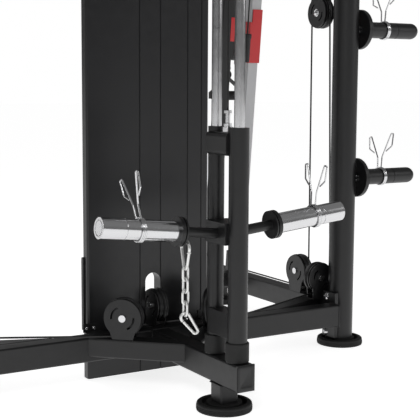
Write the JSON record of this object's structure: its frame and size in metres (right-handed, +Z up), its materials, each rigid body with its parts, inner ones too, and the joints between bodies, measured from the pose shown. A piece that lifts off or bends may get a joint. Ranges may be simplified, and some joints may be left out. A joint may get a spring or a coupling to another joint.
{
  "type": "functional trainer",
  "caption": "Free-standing cable trainer with a shrouded weight stack, leaning adjustable pulley columns, a plate-loaded sliding carriage and plate storage pegs.",
  "frame": {"origin": "on the floor under the middle of the machine's bounding box", "axes": "+Z up, -Y towards the user in front, +X to the user's right when facing the machine"},
  "size_m": [1.8558, 1.252, 2.076],
  "materials": {
    "black_powder_coat": "semi-gloss powder coat",
    "black_gloss_sheet": "gloss paint on sheet steel",
    "chrome": "polished chrome plating",
    "zinc_plated_steel": "bright zinc plating",
    "silver_powder_coat": "satin silver paint",
    "red_powder_coat": "gloss red paint",
    "black_rubber": "moulded rubber",
    "black_plastic": "moulded nylon",
    "cable_jacket": "nylon jacket on steel cable",
    "cast_plates": "black painted cast iron"
  },
  "bodies": {
    "root": {"rear_base_beam": "black_powder_coat", "rear_stub_beam": "black_powder_coat", "base_braces": "black_powder_coat", "side_beams": "black_powder_coat", "rear_columns": "black_powder_coat", "foot_pads": "black_rubber", "column_brackets": "black_powder_coat", "front_uprights": "black_powder_coat", "pulley_columns": "silver_powder_coat", "top_frame_beams": "black_powder_coat", "chin_up_bar": "black_powder_coat", "frame_bolts": "chrome", "rear_shroud": "black_gloss_sheet", "front_shroud": "black_gloss_sheet", "shroud_brackets": "black_powder_coat", "guide_rods": "chrome", "rubber_bumpers": "black_rubber", "resting_weight_plates": "cast_plates", "storage_pegs": "black_powder_coat", "pulley_brackets": "black_powder_coat", "pulley_axles": "chrome", "cables": "cable_jacket"},
    "carriage": {"carriage_frame": "black_powder_coat", "plate_horns": "black_powder_coat", "horn_sleeves": "chrome", "cable_stud": "chrome"},
    "stack": {"lifted_weight_plates": "cast_plates", "selector_stem": "chrome"},
    "float_blocks": {"float_brackets": "black_powder_coat"},
    "selector_pin": {"selector_pin": "black_plastic"},
    "float_pulleys": {"float_pulleys": "black_plastic"},
    "front_base_pulleys": {"front_base_pulleys": "black_plastic"},
    "centre_pulley": {"centre_pulley": "black_plastic"},
    "left_brace_pulley": {"left_brace_pulley": "black_plastic"},
    "left_corner_pulley": {"left_corner_pulley": "black_plastic"},
    "left_horn_collar": {"left_horn_collar": "chrome"},
    "lower_left_peg_collar": {"lower_left_peg_collar": "chrome"},
    "upper_left_peg_collar": {"upper_left_peg_collar": "chrome"},
    "left_adjuster": {"left_adjuster": "red_powder_coat", "left_cable_guide": "black_plastic"},
    "left_pull_pin": {"left_pull_pin": "black_plastic"},
    "left_swivel": {"left_swivel_bracket": "black_powder_coat"},
    "left_swivel_pulley": {"left_swivel_pulley": "black_plastic"},
    "left_handle": {"left_handle": "black_rubber"},
    "right_brace_pulley": {"right_brace_pulley": "black_plastic"},
    "right_corner_pulley": {"right_corner_pulley": "black_plastic"},
    "right_horn_collar": {"right_horn_collar": "chrome"},
    "lower_right_peg_collar": {"lower_right_peg_collar": "chrome"},
    "upper_right_peg_collar": {"upper_right_peg_collar": "chrome"},
    "right_adjuster": {"right_adjuster": "red_powder_coat", "right_cable_guide": "black_plastic"},
    "right_pull_pin": {"right_pull_pin": "black_plastic"},
    "right_swivel": {"right_swivel_bracket": "black_powder_coat"},
    "right_swivel_pulley": {"right_swivel_pulley": "black_plastic"},
    "right_handle": {"right_handle": "black_rubber"},
    "top_hook": {"top_carabiner": "zinc_plated_steel"},
    "top_gate": {"top_carabiner_gate": "zinc_plated_steel"},
    "chain": {"chain_links": "zinc_plated_steel"},
    "bottom_hook": {"bottom_carabiner": "zinc_plated_steel"},
    "bottom_gate": {"bottom_carabiner_gate": "zinc_plated_steel"}
  },
  "joints": [
    {"name": "carriage_lift", "type": "slide", "parent": "root", "child": "carriage", "axis": [0, 0, 1], "range_m": [0, 1.2], "deforming": ["cables"]},
    {"name": "stack_lift", "type": "slide", "parent": "root", "child": "stack", "axis": [0, 0, 1], "range_m": [0, 0.6], "deforming": ["cables"]},
    {"name": "selector_pin_pull", "type": "slide", "parent": "stack", "child": "selector_pin", "axis": [0, -1, 0], "range_m": [0, 0.07]},
    {"name": "float_travel", "type": "slide", "parent": "root", "child": "float_blocks", "axis": [0, 0, 1], "range_m": [-0.62, 0], "deforming": ["cables"]},
    {"name": "float_pulley_spin", "type": "hinge", "parent": "float_blocks", "child": "float_pulleys", "pos_m": [0.631, 0.052, 1.003], "axis": [1, 0, 0], "range_deg": [-5, 800]},
    {"name": "front_base_pulley_spin", "type": "hinge", "parent": "root", "child": "front_base_pulleys", "pos_m": [0.631, -0.038, 0.199], "axis": [1, 0, 0], "range_deg": [-1500, 5]},
    {"name": "centre_pulley_spin", "type": "hinge", "parent": "root", "child": "centre_pulley", "pos_m": [-0.01, 0.154, 0.188], "axis": [1, 0, 0], "continuous": true},
    {"name": "left_brace_pulley_spin", "type": "hinge", "parent": "root", "child": "left_brace_pulley", "pos_m": [-0.13336, 0.24937, 0.188], "axis": [-0.6818, 0.7316, 0], "continuous": true},
    {"name": "left_corner_pulley_spin", "type": "hinge", "parent": "root", "child": "left_corner_pulley", "pos_m": [-0.613, 0.087, 0.199], "axis": [0, 1, 0], "continuous": true},
    {"name": "left_horn_collar_slide", "type": "slide", "parent": "carriage", "child": "left_horn_collar", "axis": [-0.9942, 0, 0.108], "range_m": [0, 0.13]},
    {"name": "lower_left_peg_collar_slide", "type": "slide", "parent": "root", "child": "lower_left_peg_collar", "axis": [-1, 0, 0], "range_m": [0, 0.135]},
    {"name": "upper_left_peg_collar_slide", "type": "slide", "parent": "root", "child": "upper_left_peg_collar", "axis": [-1, 0, 0], "range_m": [0, 0.135]},
    {"name": "left_adjuster_slide", "type": "slide", "parent": "root", "child": "left_adjuster", "axis": [0, 0.1045, 0.9945], "range_m": [-0.55, 0.85], "deforming": ["cables"]},
    {"name": "left_pull_pin_pull", "type": "slide", "parent": "left_adjuster", "child": "left_pull_pin", "axis": [0, -0.9945, 0.1045], "range_m": [-0.01, 0.006]},
    {"name": "left_swivel_turn", "type": "hinge", "parent": "left_adjuster", "child": "left_swivel", "pos_m": [-0.647, -0.406, 0.91463], "axis": [0, 0.1045, 0.9945], "range_deg": [-45, 45]},
    {"name": "left_swivel_pulley_spin", "type": "hinge", "parent": "left_swivel", "child": "left_swivel_pulley", "pos_m": [-0.647, -0.45573, 0.91985], "axis": [1, 0, 0], "continuous": true},
    {"name": "left_handle_swing", "type": "hinge", "parent": "left_swivel", "child": "left_handle", "pos_m": [-0.647, -0.50545, 0.92508], "axis": [-1, 0, 0], "range_deg": [0, 60]},
    {"name": "right_brace_pulley_spin", "type": "hinge", "parent": "root", "child": "right_brace_pulley", "pos_m": [0.13336, 0.24937, 0.188], "axis": [0.6818, 0.7316, 0], "continuous": true},
    {"name": "right_corner_pulley_spin", "type": "hinge", "parent": "root", "child": "right_corner_pulley", "pos_m": [0.613, 0.087, 0.199], "axis": [0, 1, 0], "continuous": true},
    {"name": "right_horn_collar_slide", "type": "slide", "parent": "carriage", "child": "right_horn_collar", "axis": [0.9942, 0, 0.108], "range_m": [0, 0.13]},
    {"name": "lower_right_peg_collar_slide", "type": "slide", "parent": "root", "child": "lower_right_peg_collar", "axis": [1, 0, 0], "range_m": [0, 0.135]},
    {"name": "upper_right_peg_collar_slide", "type": "slide", "parent": "root", "child": "upper_right_peg_collar", "axis": [1, 0, 0], "range_m": [0, 0.135]},
    {"name": "right_adjuster_slide", "type": "slide", "parent": "root", "child": "right_adjuster", "axis": [0, 0.1045, 0.9945], "range_m": [-0.55, 0.85], "deforming": ["cables"]},
    {"name": "right_pull_pin_pull", "type": "slide", "parent": "right_adjuster", "child": "right_pull_pin", "axis": [0, -0.9945, 0.1045], "range_m": [-0.01, 0.006]},
    {"name": "right_swivel_turn", "type": "hinge", "parent": "right_adjuster", "child": "right_swivel", "pos_m": [0.647, -0.406, 0.91463], "axis": [0, 0.1045, 0.9945], "range_deg": [-45, 45]},
    {"name": "right_swivel_pulley_spin", "type": "hinge", "parent": "right_swivel", "child": "right_swivel_pulley", "pos_m": [0.647, -0.45573, 0.91985], "axis": [1, 0, 0], "continuous": true},
    {"name": "right_handle_swing", "type": "hinge", "parent": "right_swivel", "child": "right_handle", "pos_m": [0.647, -0.50545, 0.92508], "axis": [-1, 0, 0], "range_deg": [0, 60]},
    {"name": "top_hook_swing", "type": "hinge", "parent": "carriage", "child": "top_hook", "pos_m": [0.114, 0.536, 0.427], "axis": [0, 1, 0], "range_deg": [-6, 6]},
    {"name": "top_gate_open", "type": "hinge", "parent": "top_hook", "child": "top_gate", "pos_m": [0.114, 0.55263, 0.39842], "axis": [-1, 0, 0], "range_deg": [0, 15]},
    {"name": "chain_swing", "type": "hinge", "parent": "top_hook", "child": "chain", "pos_m": [0.114, 0.536, 0.358], "axis": [0, 1, 0], "range_deg": [-8, 8]},
    {"name": "bottom_hook_swing", "type": "hinge", "parent": "chain", "child": "bottom_hook", "pos_m": [0.114, 0.536, 0.2529], "axis": [-0.9455, 0.3256, 0], "range_deg": [-6, 6]},
    {"name": "bottom_gate_open", "type": "hinge", "parent": "bottom_hook", "child": "bottom_gate", "pos_m": [0.11786, 0.53467, 0.23127], "axis": [0.3256, 0.9455, 0], "range_deg": [0, 9]}
  ],
  "couplings": [
    {"joint": "float_travel", "follows": "stack_lift", "ratio": -1},
    {"joint": "float_pulley_spin", "follows": "stack_lift", "rad_per_m": 22.472},
    {"joint": "front_base_pulley_spin", "follows": "stack_lift", "rad_per_m": -40}
  ]
}
